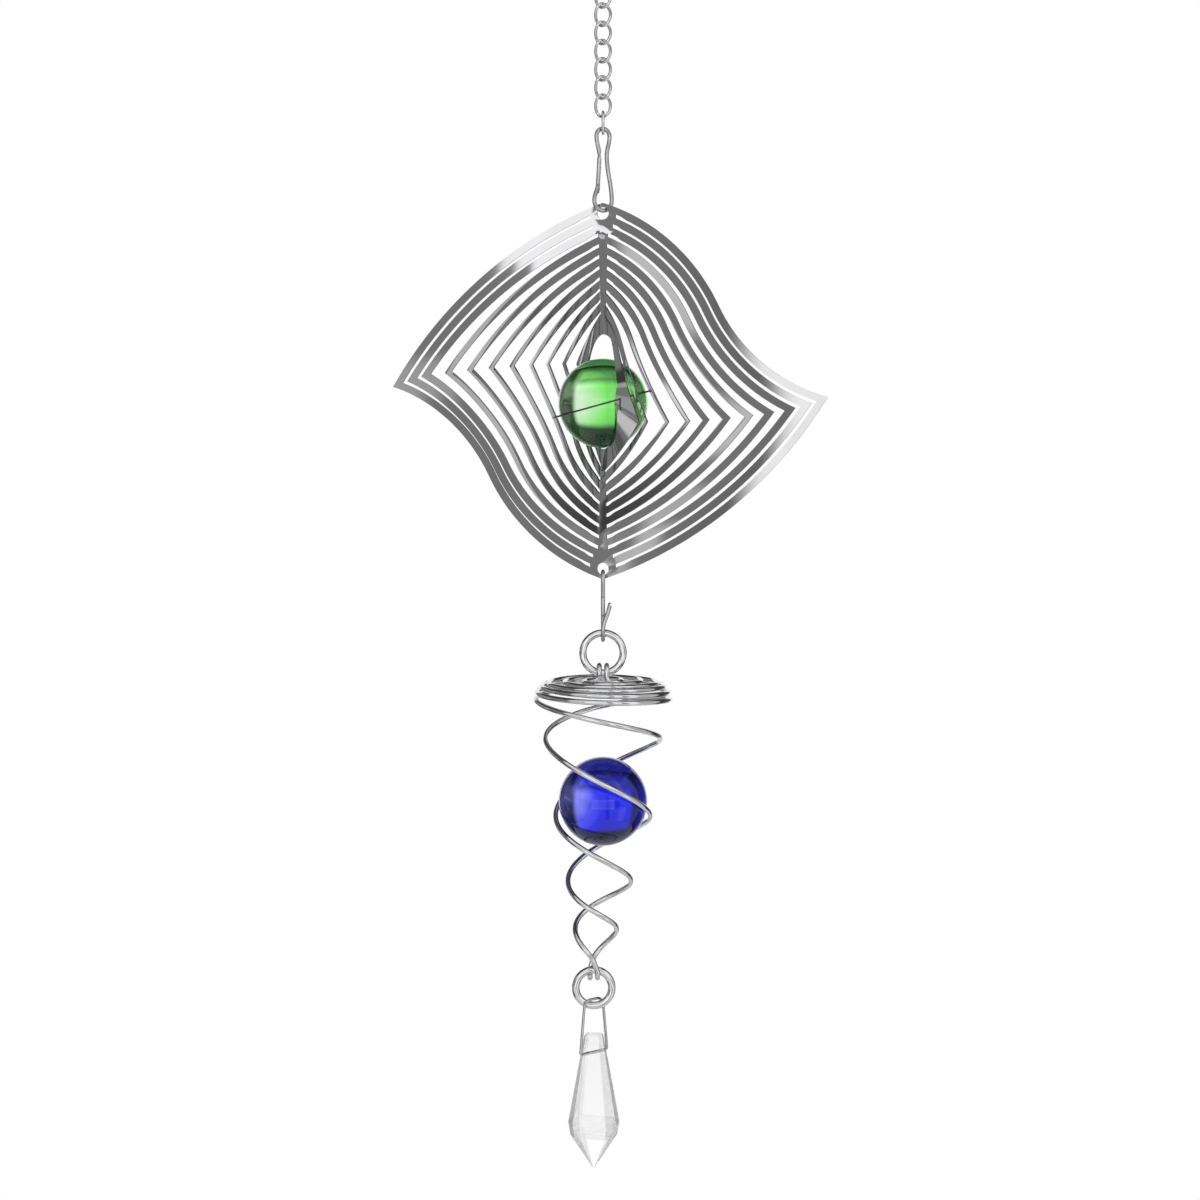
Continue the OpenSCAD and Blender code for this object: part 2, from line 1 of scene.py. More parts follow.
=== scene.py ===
# Hanging wind spinner: hook and swivel, curb chain, snap clips, a fanned ringed sheet round a glass
# ball, a coiled wire tail with a second ball, and a crystal drop. Metres; +Z up, the front faces -Y.
import math

import bmesh
import bpy
from mathutils import Matrix, Vector


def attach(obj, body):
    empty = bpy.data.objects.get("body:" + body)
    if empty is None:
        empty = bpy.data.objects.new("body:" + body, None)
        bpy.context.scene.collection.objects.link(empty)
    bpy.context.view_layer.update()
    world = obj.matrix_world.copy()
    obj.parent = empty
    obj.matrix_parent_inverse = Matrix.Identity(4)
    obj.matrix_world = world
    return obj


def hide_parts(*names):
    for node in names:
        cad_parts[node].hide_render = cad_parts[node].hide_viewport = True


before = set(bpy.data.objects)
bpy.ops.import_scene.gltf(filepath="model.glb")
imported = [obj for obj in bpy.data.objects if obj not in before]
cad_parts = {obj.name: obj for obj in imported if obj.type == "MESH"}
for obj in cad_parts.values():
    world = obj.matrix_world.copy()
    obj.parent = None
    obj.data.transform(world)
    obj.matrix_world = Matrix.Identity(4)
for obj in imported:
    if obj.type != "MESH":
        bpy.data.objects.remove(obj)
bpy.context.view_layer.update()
mm = 0.001


# The view: a long lens level with the spinner's middle, tipped a little down, as in the photograph.
# The sheet's middle lies in column 603 and row 390 of 1200.
eye = bpy.data.cameras.new("front_view")
eye.lens = 68.6
eye.sensor_width = 36
eye.shift_y = -0.0546
eye.clip_start, eye.clip_end = 0.05, 20
view = bpy.data.objects.new("front_view", eye)
view.location = (-0.84 * mm, -640 * mm, -151.6 * mm)
view.rotation_euler = (math.radians(90 - 3.0), 0, 0)
bpy.context.scene.collection.objects.link(view)
bpy.context.scene.camera = view
bpy.context.scene.view_settings.view_transform = "Standard"


# The studio: a white ground behind the spinner and a dim room with soft light boxes in it, which the
# metal mirrors and the glass gathers. Each box has a middle, half its width and height, and a strength.
room = bpy.data.worlds.new("studio_room")
room.use_nodes = True
bpy.context.scene.world = room
air = room.node_tree
air.nodes.clear()
way = air.nodes.new("ShaderNodeTexCoord").outputs["Generated"]


def sum_up(tree, kind, *values):
    """One step of arithmetic in a node tree, on numbers and outputs of other nodes."""
    step = tree.nodes.new("ShaderNodeMath")
    step.operation = kind
    for socket, value in zip(step.inputs, values):
        if isinstance(value, (int, float)):
            socket.default_value = value
        else:
            tree.links.new(value, socket)
    return step.outputs[0]


def inside(value, half, soft):
    """1 within half an angle of the middle, 0 outside it, with a soft edge."""
    fade = air.nodes.new("ShaderNodeMapRange")
    fade.interpolation_type = "SMOOTHSTEP"
    fade.inputs["From Min"].default_value = math.radians(half + soft / 2)
    fade.inputs["From Max"].default_value = math.radians(half - soft / 2)
    air.links.new(sum_up(air, "ABSOLUTE", value), fade.inputs["Value"])
    return fade.outputs["Result"]


# turned from -Y towards -X, raised, half width, half height, soft edge, strength
light_boxes = [
    # the bright ground behind, which the glass gathers
    (180, 1.5, 29, 20, 9, 0.95),
    (180, -27, 34, 12, 10, 0.42),
    (180, -29, 26, 5, 5, 0.35),
    # large boxes in front and on both sides, and a dark board between them
    (0, 0, 30.35, 12, 1, 1.1),
    (0, 45, 62, 36, 8, 0.75),
    (0, -45, 62, 36, 8, 0.6),
    (-75, 4, 32, 46, 8, 0.5),
    (-12, 0, 5, 60, 4, -0.5),
    (86, 0, 56, 24, 8, 0.19),
    # small lights and shades that the rings of the sheet mirror
    (38.37, 5.65, 1.33, 3.35, 0.15, 1.05),
    (42.3, 0.6, 0.7, 0.8, 0.5, 0.25),
    (34.6, -3.5, 1.3, 0.75, 0.5, 0.45),
    (46.5, 3.6, 2.2, 1.6, 0.6, 0.5),
    (46.5, -2.6, 1.6, 0.8, 0.6, 0.35),
    (50, -4.2, 9, 1.2, 2, 0.15),
    (78, -4, 16, 2.6, 3, -0.18),
    (109, 0.75, 12, 1.0, 0.7, 0.8),
    (92.5, 0.25, 4.5, 0.5, 0.4, 0.7),
    (56.5, -0.3, 1.6, 0.7, 0.6, 0.5),
    # a dim box behind on the right, which the sheet's back mirrors
    (219, -15, 14, 9, 6, 0.14),
    # two lights and a shade for the twisted side of the inner ring
    (81, 20.6, 2.6, 1.8, 1.6, 0.2),
    (105.5, -13.3, 2.6, 3.0, 3, 0.55),
    (119, -12, 6, 4, 4, -0.12),
]
glow = 0.06
for turn, rise, half_w, half_h, soft, strength in light_boxes:
    facing = air.nodes.new("ShaderNodeVectorRotate")
    facing.rotation_type = "Z_AXIS"
    facing.inputs["Angle"].default_value = math.radians(turn)
    air.links.new(way, facing.inputs["Vector"])
    axes = air.nodes.new("ShaderNodeSeparateXYZ")
    air.links.new(facing.outputs["Vector"], axes.inputs["Vector"])
    side = sum_up(air, "ARCTAN2", axes.outputs["X"], sum_up(air, "MULTIPLY", axes.outputs["Y"], -1))
    lift = sum_up(air, "SUBTRACT", sum_up(air, "ARCSINE", axes.outputs["Z"]), math.radians(rise))
    lit = sum_up(air, "MULTIPLY", inside(side, half_w, soft), inside(lift, half_h, soft))
    glow = sum_up(air, "ADD", sum_up(air, "MULTIPLY", lit, strength), glow)
seen = air.nodes.new("ShaderNodeLightPath").outputs["Is Camera Ray"]
white = air.nodes.new("ShaderNodeBackground")
white.inputs["Color"].default_value = (1, 1, 1, 1)
unseen_glow = sum_up(air, "MULTIPLY", glow, sum_up(air, "SUBTRACT", 1, seen))
air.links.new(sum_up(air, "ADD", unseen_glow, seen), white.inputs["Strength"])
air.links.new(white.outputs["Background"], air.nodes.new("ShaderNodeOutputWorld").inputs["Surface"])


# Floor: a plain pale matt board with a faint mottle, well below the crystal. A little glow stands in
# for the light of the lamps above it.
floor_r, floor_z = 0.75, -0.9
floor_form = bmesh.new()
bmesh.ops.create_circle(floor_form, cap_ends=True, segments=96, radius=floor_r)
bmesh.ops.translate(floor_form, verts=floor_form.verts, vec=(0, 0, floor_z))
floor_mesh = bpy.data.meshes.new("pale_floor")
floor_form.to_mesh(floor_mesh)
floor = bpy.data.objects.new("pale_floor", floor_mesh)
bpy.context.scene.collection.objects.link(floor)
board = bpy.data.materials.new("pale_board")
board.use_nodes = True
nodes, links = board.node_tree.nodes, board.node_tree.links
shader = nodes["Principled BSDF"]
mottle = nodes.new("ShaderNodeTexNoise")
mottle.inputs["Scale"].default_value = 6
tint = nodes.new("ShaderNodeValToRGB")
tint.color_ramp.elements[0].color = (0.74, 0.74, 0.74, 1)
tint.color_ramp.elements[1].color = (0.82, 0.82, 0.81, 1)
links.new(mottle.outputs["Fac"], tint.inputs["Fac"])
links.new(tint.outputs["Color"], shader.inputs["Base Color"])
shader.inputs["Roughness"].default_value = 0.8
shader.inputs["Emission Color"].default_value = (1, 1, 1, 1)
shader.inputs["Emission Strength"].default_value = 0.35
floor_mesh.materials.append(board)


# Hanging hook: one polished steel wire bent to an open hook with a ball tip, its straight shank run
# through the swivel's boss and riveted over below it.
def bent_wire(name, path, thick, closed=False, sides=16):
    """Round wire through points in millimetres; its free ends are rounded off."""
    path = [Vector(spot) for spot in path]
    fat = [1.0] * len(path)
    if not closed:
        for end, back in ((0, 1), (-1, -2)):
            tip, out = path[end], (path[end] - path[back]).normalized()
            cap = [(tip - out * thick / 2 * (1 - math.sin(a)), math.cos(a)) for a in (0.0, 0.5, 0.95, 1.3)]
            cap = cap if end else cap[::-1]
            spots, widths = [spot for spot, _ in cap], [width for _, width in cap]
            path = path[:-1] + spots if end else spots + path[1:]
            fat = fat[:-1] + widths if end else widths + fat[1:]
    line = bpy.data.curves.new(name, "CURVE")
    line.dimensions = "3D"
    line.bevel_depth = thick / 2 * mm
    line.bevel_resolution = (sides - 4) // 2
    line.use_fill_caps = not closed
    run = line.splines.new("POLY")
    run.points.add(len(path) - 1)
    for knot, spot, width in zip(run.points, path, fat):
        knot.co = (*(spot * mm), 1)
        knot.radius = width
    run.use_cyclic_u = closed
    former = bpy.data.objects.new(name, line)
    mesh = bpy.data.meshes.new_from_object(former)
    bpy.data.objects.remove(former)
    return mesh


def turned(profile, steps=64, whole=False):
    """Piece turned about the upright axis from points of radius and height in millimetres."""
    form = bmesh.new()
    rim = [form.verts.new((r * mm, 0, z * mm)) for r, z in profile]
    edges = [form.edges.new(pair) for pair in zip(rim, rim[1:])]
    if whole:
        edges.append(form.edges.new((rim[-1], rim[0])))
    bmesh.ops.spin(form, geom=rim + edges, cent=(0, 0, 0), axis=(0, 0, 1), dvec=(0, 0, 0),
                   angle=math.tau, steps=steps, use_merge=True, use_duplicate=False)
    bmesh.ops.remove_doubles(form, verts=form.verts, dist=1e-7)
    bmesh.ops.recalc_face_normals(form, faces=form.faces)
    mesh = bpy.data.meshes.new("turned")
    form.to_mesh(mesh)
    return mesh


def fitted(name, meshes, finish, body, slot, *nodes, smooth=50):
    """Joins the meshes into one piece that rides on a body and stands for its nodes."""
    form = bmesh.new()
    for mesh in meshes:
        form.from_mesh(mesh)
        bpy.data.meshes.remove(mesh)
    whole = bpy.data.meshes.new(name)
    form.to_mesh(whole)
    whole.materials.append(finish)
    piece = bpy.data.objects.new(name, whole)
    bpy.context.scene.collection.objects.link(piece)
    for face in whole.polygons:
        face.use_smooth = True
    whole.set_sharp_from_angle(angle=math.radians(smooth))
    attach(piece, body)
    if nodes:
        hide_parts(*nodes)
    return piece


def steel(name, dark, light, smooth, dull, spots, marks=0.12):
    """Bright metal with faint handling marks: cloudy tone, patchy gloss and fine drawn scratches."""
    finish = bpy.data.materials.new(name)
    finish.use_nodes = True
    nodes, links = finish.node_tree.nodes, finish.node_tree.links
    shader = nodes["Principled BSDF"]
    shader.inputs["Metallic"].default_value = 1
    place = nodes.new("ShaderNodeTexCoord")
    cloud = nodes.new("ShaderNodeTexNoise")
    cloud.inputs["Scale"].default_value = spots
    cloud.inputs["Detail"].default_value = 6
    links.new(place.outputs["Object"], cloud.inputs["Vector"])
    tone = nodes.new("ShaderNodeValToRGB")
    tone.color_ramp.elements[0].position, tone.color_ramp.elements[1].position = 0.3, 0.7
    tone.color_ramp.elements[0].color = (*dark, 1)
    tone.color_ramp.elements[1].color = (*light, 1)
    links.new(cloud.outputs["Fac"], tone.inputs["Fac"])
    links.new(tone.outputs["Color"], shader.inputs["Base Color"])
    smear = nodes.new("ShaderNodeTexNoise")
    smear.inputs["Scale"].default_value = spots * 0.37
    smear.inputs["Detail"].default_value = 3
    links.new(place.outputs["Object"], smear.inputs["Vector"])
    gloss = nodes.new("ShaderNodeMapRange")
    gloss.inputs["From Min"].default_value, gloss.inputs["From Max"].default_value = 0.35, 0.68
    gloss.inputs["To Min"].default_value, gloss.inputs["To Max"].default_value = smooth, dull
    links.new(smear.outputs["Fac"], gloss.inputs["Value"])
    links.new(gloss.outputs["Result"], shader.inputs["Roughness"])
    scratch = nodes.new("ShaderNodeTexNoise")
    scratch.inputs["Scale"].default_value = 4200
    scratch.inputs["Detail"].default_value = 2
    links.new(place.outputs["Object"], scratch.inputs["Vector"])
    relief = nodes.new("ShaderNodeBump")
    relief.inputs["Strength"].default_value = marks
    relief.inputs["Distance"].default_value = 0.00001
    links.new(scratch.outputs["Fac"], relief.inputs["Height"])
    links.new(relief.outputs["Normal"], shader.inputs["Normal"])
    return finish


def arc(mid, r, start, end, steps):
    """Points on an upright arc that faces the front, angles in degrees from +X towards +Z."""
    turns = [math.radians(start + (end - start) * i / steps) for i in range(steps + 1)]
    return [(mid[0] + r * math.cos(t), 0, mid[1] + r * math.sin(t)) for t in turns]


hook_z, hook_r, hook_thick, hook_end, tip_r = -6.5, 7.5, 2, 205, 1.3
neck_r, neck_turn = 4, 69.646
shank_top, boss_foot, boss_h = -17.282, -23.382, 4.3
hook_wire = bent_wire(
    "hook_wire",
    [(0, 0, boss_foot - 0.5)]
    + arc((neck_r, shank_top), neck_r, 180, 180 - neck_turn, 14)
    + arc((0, hook_z), hook_r, -neck_turn, hook_end, 72)[1:],
    hook_thick, sides=24)
half_round = [math.radians(a) for a in range(0, 181, 12)]
ball_tip = turned([(tip_r * math.sin(a), -tip_r * math.cos(a)) for a in half_round], 32)
tip = math.radians(hook_end)
tip_x, tip_z = hook_r * math.cos(tip), hook_z + hook_r * math.sin(tip)
ball_tip.transform(Matrix.Translation((tip_x * mm, 0, tip_z * mm)))
head_top = boss_foot - 0.1
rivet_head = turned([(0, head_top), (1.35, head_top), (1.5, head_top - 0.15), (1.45, head_top - 0.45),
                     (1.1, head_top - 0.75), (0.5, head_top - 0.88), (0, head_top - 0.9)], 32)
polished_wire = steel("polished_wire", (0.70, 0.70, 0.71), (0.80, 0.80, 0.81), 0.07, 0.16, 260)
fitted("hook", [hook_wire, ball_tip, rivet_head], polished_wire, "hook", "polished_steel", "hanging_hook")


# Swivel eye: a bored steel boss that turns on the hook's shank, with a bow brazed under it which
# carries the chain. The bow stands askew, so that the first link lies as the others do.
boss_top = boss_foot + boss_h
bore_r, groove_r, boss_r = 1.05, 2.2, 2.3
boss_wall = [(boss_r, boss_foot + 0.3), (boss_r, boss_foot + 1.5), (groove_r, boss_foot + 1.6),
             (groove_r, boss_foot + 1.9), (boss_r, boss_foot + 2.0), (boss_r, boss_top - 0.4)]
boss = turned([(bore_r, boss_foot + 0.1), (1.2, boss_foot), (2.0, boss_foot)] + boss_wall
              + [(1.9, boss_top), (1.2, boss_top), (bore_r, boss_top - 0.12)], 64, whole=True)
bow_r, bow_z, bow_thick, bow_turn = 3.6, -25.682, 1.4, -45
bow = bent_wire("bow", arc((0, bow_z), bow_r, 130, 410, 84), bow_thick, sides=20)
bow.transform(Matrix.Rotation(math.radians(bow_turn), 4, "Z"))
fitted("swivel", [boss, bow], polished_wire, "swivel", "polished_steel", "swivel_eye")


# Curb chain: eight links of bright plated wire, each bent so that its sides lean and its ends cross
# its neighbours', with one plain oval ring at the foot.
chain_wire = steel("chain_wire", (0.72, 0.72, 0.73), (0.84, 0.84, 0.85), 0.14, 0.26, 420)
link_a, link_b, lean, link_thick = 2.05, 3.0, 1.0, 0.85
first_link_z, link_pitch, end_ring_z = -31.007, 5, -70.757
round_turn = [math.tau * i / 96 for i in range(96)]
for k in range(8):
    mid = first_link_z - link_pitch * k
    oval = [(link_a * math.cos(t), lean * math.sin(2 * t), mid + link_b * math.sin(t)) for t in round_turn]
    fitted(f"link_{k + 1}", [bent_wire("link", oval, link_thick, closed=True)], chain_wire, f"link_{k + 1}",
           "chain_steel", f"chain_link_{k + 1}")
oval = [(0, link_a * math.cos(t), end_ring_z + link_b * math.sin(t)) for t in round_turn]
fitted("end_ring", [bent_wire("end_ring", oval, link_thick, closed=True)], chain_wire, "end_ring",
       "chain_steel", "chain_end_ring")


# Snap clips: spring wire bent to a pinched loop. One leg is the gate, which snaps behind the short
# latch that rises from the bottom loop. The upper clip hangs askew, the lower one edge-on.
spring_wire = steel("spring_wire", (0.46, 0.46, 0.47), (0.62, 0.62, 0.63), 0.16, 0.30, 500)
clip_thick, top_r, waist, foot_r, waist_z, flare, apart = 1.2, 2.1, 1.2, 2.8, -7.4, 1.9, 1.45


def ease(u):
    """Goes from 0 to 1 with a gentle start and end."""
    return (1 - math.cos(math.pi * u)) / 2


def down(first, last, steps):
    """Even steps from one value to another."""
    return [first + (last - first) * i / steps for i in range(steps + 1)]


def snap_clip(part, height, top, turn, rise, reach):
    """Frame and gate wires; rise is the latch's height, reach how far the gate passes behind it."""
    foot = -(height - clip_thick)
    latch = foot - clip_thick / 2 + rise
    low = foot + foot_r

    def leg_up(u):
        return waist + (top_r - waist) * ease(u), 0, waist_z + (-top_r - waist_z) * u

    def leg_down(u):
        return waist + (foot_r - waist) * ease(u), 0, waist_z + (low - waist_z) * u

    frame_path = (
        [(-foot_r, -flare * ease(u), low + (latch - low) * u) for u in down(1, 0.05, 16)]
        + arc((0, low), foot_r, 180, 360, 28)
        + [leg_down(u) for u in down(0.95, 0.05, 20)]
        + [leg_up(u) for u in down(0, 0.95, 16)]
        + arc((0, -top_r), top_r, 0, 180, 24)
        + [(-x, y, z) for x, y, z in map(leg_up, down(0.95, 0, 16))])
    gate_x = foot_r - math.sqrt(apart ** 2 - (flare / 2) ** 2)
    gate_top = waist_z + 0.15
    gate_path = [(-waist - (gate_x - waist) * ease(u), 0, gate_top + (latch - reach - gate_top) * u)
                 for u in down(0, 1, 24)]
    for kind, path in (("frame", frame_path), ("gate", gate_path)):
        mesh = bent_wire(kind, path, clip_thick, sides=18)
        mesh.transform(Matrix.Translation((0, 0, top * mm)) @ Matrix.Rotation(math.radians(turn), 4, "Z"))
        body = f"{part}_clip" if kind == "frame" else f"{part}_gate"
        fitted(f"{part}_clip_{kind}_wire", [mesh], spring_wire, body, "spring_steel", f"{part}_clip_{kind}")


snap_clip("upper", height=23.8, top=-72.332, turn=30, rise=7.6, reach=2.3)
snap_clip("lower", height=20.5, top=-195.532, turn=90, rise=11.4, reach=4)


# Spinner: one mirror-polished stainless sheet, cut into eleven rings that hang together at necks on
# the upright spine. Each ring is turned further than the one outside it, and the bands narrow outwards.
sheet_z, half_h, half_w, tip_rise = -145.232, 52.5, 63.75, 1.6
long_r, hollow_r, round_r, slope = 121.8, 47.6, 55.9, math.radians(17.9)
pitch, band, sheet_thick, hole_r, hole_at = 2.79, 1.86, 0.5, 1.7, 49.55
ball_mid, ball_room, bulge, arch_r = -3.2, 12.8, 1.1, 13
side_tip, apex = Vector((-half_w, tip_rise)), Vector((0, half_h))


def meet(c, r, k, s, side):
    """Where circles of radius r about c and s about k cross."""
    gap = k - c
    d = gap.length
    a = (r * r - s * s + d * d) / (2 * d)
    u = gap / d
    return c + a * u + side * math.sqrt(r * r - a * a) * Vector((-u.y, u.x))


chord = apex - side_tip
long_depth = math.sqrt(long_r ** 2 - chord.length_squared / 4)
long_c = (side_tip + apex) / 2 + Vector((chord.y, -chord.x)).normalized() * long_depth
round_c = -apex + round_r * Vector((math.sin(slope), math.cos(slope)))
hollow_c = meet(round_c, hollow_r + round_r, side_tip, hollow_r, 1)


def long_z(o, x):
    """Height of the left half's long edge at x, at the inward offset o."""
    return long_c.y + math.sqrt((long_r - o) ** 2 - (x - long_c.x) ** 2)


def round_z(o, x):
    """Height of the right half's round edge at x, at the inward offset o."""
    return -round_c.y + math.sqrt((round_r - o) ** 2 - (x + round_c.x) ** 2)


def angle_of(c, p):
    """Direction of p seen from c."""
    return math.atan2(p.y - c.y, p.x - c.x)


def bow_run(c, r, a, b, steps):
    """Points on an arc about c from the angle a to b, without the first."""
    return [c + r * Vector((math.cos(a + (b - a) * i / steps), math.sin(a + (b - a) * i / steps)))
            for i in range(1, steps + 1)]


def outline(o, w):
    """Edge at the inward offset o, from the top down the left and up the right; w is half a neck."""
    t = meet(long_c, long_r - o, hollow_c, hollow_r + o, -1)
    top, start = Vector((0, (long_z(o, 0) + round_z(o, 0)) / 2)), Vector((-w, long_z(o, -w)))
    joint, last = angle_of(round_c, hollow_c), Vector((-w, -round_z(o, w)))
    left = ([top, start]
            + bow_run(long_c, long_r - o, angle_of(long_c, start), angle_of(long_c, t), 30)
            + bow_run(hollow_c, hollow_r + o, angle_of(hollow_c, t), angle_of(hollow_c, round_c), 20)
            + bow_run(round_c, round_r - o, joint, angle_of(round_c, last), 24))
    return left + [-p for p in left]


def pushed_out(p, r):
    """Keeps a point outside the round room of the ball."""
    off = p - Vector((0, ball_mid))
    return Vector((0, ball_mid)) + off.normalized() * r if off.length < r else p


def under_arch(p):
    """Draws a point in until it lies inside the arch of the middle opening."""
    c = Vector((0, ball_room - ball_mid - arch_r))
    return c + (p - c).normalized() * min((p - c).length, arch_r)


# for each ring from the outside in: half a neck, the turn of each side in degrees, the band's width at
# each tip as a share, and by how much the curved edge is fuller; then the inner ring's twist on the right
neck_half = [3.7, 2.8, 1.4] + [1.15] * 9
left_turn = [18.6, 18.8, 19.0, 26.25, 32.5, 38.75, 45, 51.25, 57, 63.5, 70]
right_turn = [17, 17.4, 18.4, 24.6, 30, 36.4, 42, 47, 54, 62.5, 66]
left_tip = [1.05, 1.05, 1.05, 0.8, 0.72, 0.65, 0.65, 0.6, 0.55, 0.6, 1]
right_tip = [1.05, 1.05, 1.05, 1.0, 0.9, 0.88, 0.75, 0.55, 0.5, 0.55, 1]
left_full = [1.2, 1.8, 2.1, 2.5, 2.5, 2.5, 2.9, 3.0, 2.4, 1.6, 0]
right_full = [0, 0.2, 0.3, 0.6, 0.9, 1.4, 1.7, 1.9, 1.3, 1.2, 2.0]
inner_twist = (-2.5, 9)
spine_width = 1.18
form = bmesh.new()
inner_before = None
for k in range(11):
    o = k * pitch
    outer, inner = outline(o, neck_half[max(k - 1, 0)]), outline(o + band, neck_half[k])
    far = max(outer, key=lambda p: p.x)
    rows = [[], []]
    for p, q in zip(outer, inner):
        share = min(1, abs(p.x) / far.x)
        side = (right_turn, right_tip, right_full) if p.x > 0 else (left_turn, left_tip, left_full)
        turn, tip_width, full = [row[k] for row in side]
        wide = spine_width + (tip_width - spine_width) * share if share > 0.1 and k < 10 else 1
        on_curve = math.copysign(p.y, p.x * p.y) > far.y
        peak = 0.6 if k == 10 else 1.5
        swell = math.copysign(full * math.sin(math.pi * share ** peak), p.x) if on_curve else 0
        p, q = p + Vector((swell, 0)), p + (q - p) * wide + Vector((swell, 0))
        if k == 10:
            q = under_arch(q)
        if k >= 9:
            p, q = pushed_out(p, ball_room + bulge), pushed_out(q, ball_room)
        twist = inner_twist if k == 10 and p.x > 0 else (0, 0)
        for row, spot, more in zip(rows, (p, q), twist):
            a = math.radians(turn + more * ease(share))
            x, y, z = spot.x * math.cos(a), -spot.x * math.sin(a), sheet_z + spot.y
            row.append(form.verts.new((x * mm, y * mm, z * mm)))
    loops = [[form.edges.new(pair) for pair in zip(row, row[1:] + row[:1])] for row in rows]
    bmesh.ops.bridge_loops(form, edges=loops[0] + loops[1])
    if inner_before:
        half = len(outer) // 2
        for i in (0, half):
            for j in (i - 1, i):
                a, b = j % len(outer), (j + 1) % len(outer)
                form.faces.new((inner_before[a], inner_before[b], rows[0][b], rows[0][a]))
    inner_before = rows[1]
bmesh.ops.recalc_face_normals(form, faces=form.faces)
sheet_mesh = bpy.data.meshes.new("sheet")
form.to_mesh(sheet_mesh)
mirror_sheet = steel("mirror_sheet", (0.60, 0.60, 0.61), (0.68, 0.68, 0.69), 0.015, 0.045, 60, marks=0.01)
# Cut edges and hole walls: rougher steel, painted dark as a stand-in for the dark reflection they give.
painted_dark_edge = steel("painted_dark_edge", (0.26, 0.26, 0.27), (0.36, 0.36, 0.37), 0.32, 0.5, 900)
sheet_mesh.materials.append(mirror_sheet)
sheet_mesh.materials.append(painted_dark_edge)
sheet = bpy.data.objects.new("ringed_sheet", sheet_mesh)
bpy.context.scene.collection.objects.link(sheet)
wall = sheet.modifiers.new("wall", "SOLIDIFY")
wall.thickness, wall.offset, wall.material_offset_rim = sheet_thick * mm, 0, 1


def drilled(piece, r, depth, tipped, turn, place, sides, wall=None):
    """Sets a drill through a piece, tipped over about X or Y and turned; wall is the hole's finish."""
    bit = bmesh.new()
    bmesh.ops.create_cone(bit, cap_ends=True, segments=sides, radius1=r * mm, radius2=r * mm,
                          depth=depth * mm)
    for angle, axis in ((90, tipped), (turn, "Z")):
        lay = Matrix.Rotation(math.radians(angle), 3, axis)
        bmesh.ops.rotate(bit, verts=bit.verts, cent=(0, 0, 0), matrix=lay)
    bmesh.ops.translate(bit, verts=bit.verts, vec=[c * mm for c in place])
    mesh = bpy.data.meshes.new("drill")
    bit.to_mesh(mesh)
    drill = bpy.data.objects.new("drill", mesh)
    bpy.context.scene.collection.objects.link(drill)
    bore = piece.modifiers.new("bore", "BOOLEAN")
    bore.object, bore.operation, bore.solver = drill, "DIFFERENCE", "EXACT"
    if wall:
        mesh.materials.append(wall)
        bore.material_mode = "TRANSFER"
    return drill


def finished(piece, drills):
    """Mesh of a piece with its modifiers carried out; the drills are taken away."""
    bpy.context.view_layer.update()
    mesh = bpy.data.meshes.new_from_object(piece.evaluated_get(bpy.context.evaluated_depsgraph_get()))
    for drill in drills:
        bpy.data.objects.remove(drill)
    return mesh


hole_turn = -17.75
# The hole walls take the same painted dark reflection as the cut edges.
drills = [drilled(sheet, hole_r, depth=6, tipped="X", turn=hole_turn, place=(0, 0, sheet_z + z), sides=48,
                  wall=painted_dark_edge) for z in (hole_at, -hole_at)]
cut_sheet = finished(sheet, drills)
sheet.modifiers.clear()
sheet.data = cut_sheet
for face in cut_sheet.polygons:
    face.use_smooth = True
cut_sheet.set_sharp_from_angle(angle=math.radians(35))
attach(sheet, "spinner")
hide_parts("spinner_sheet")


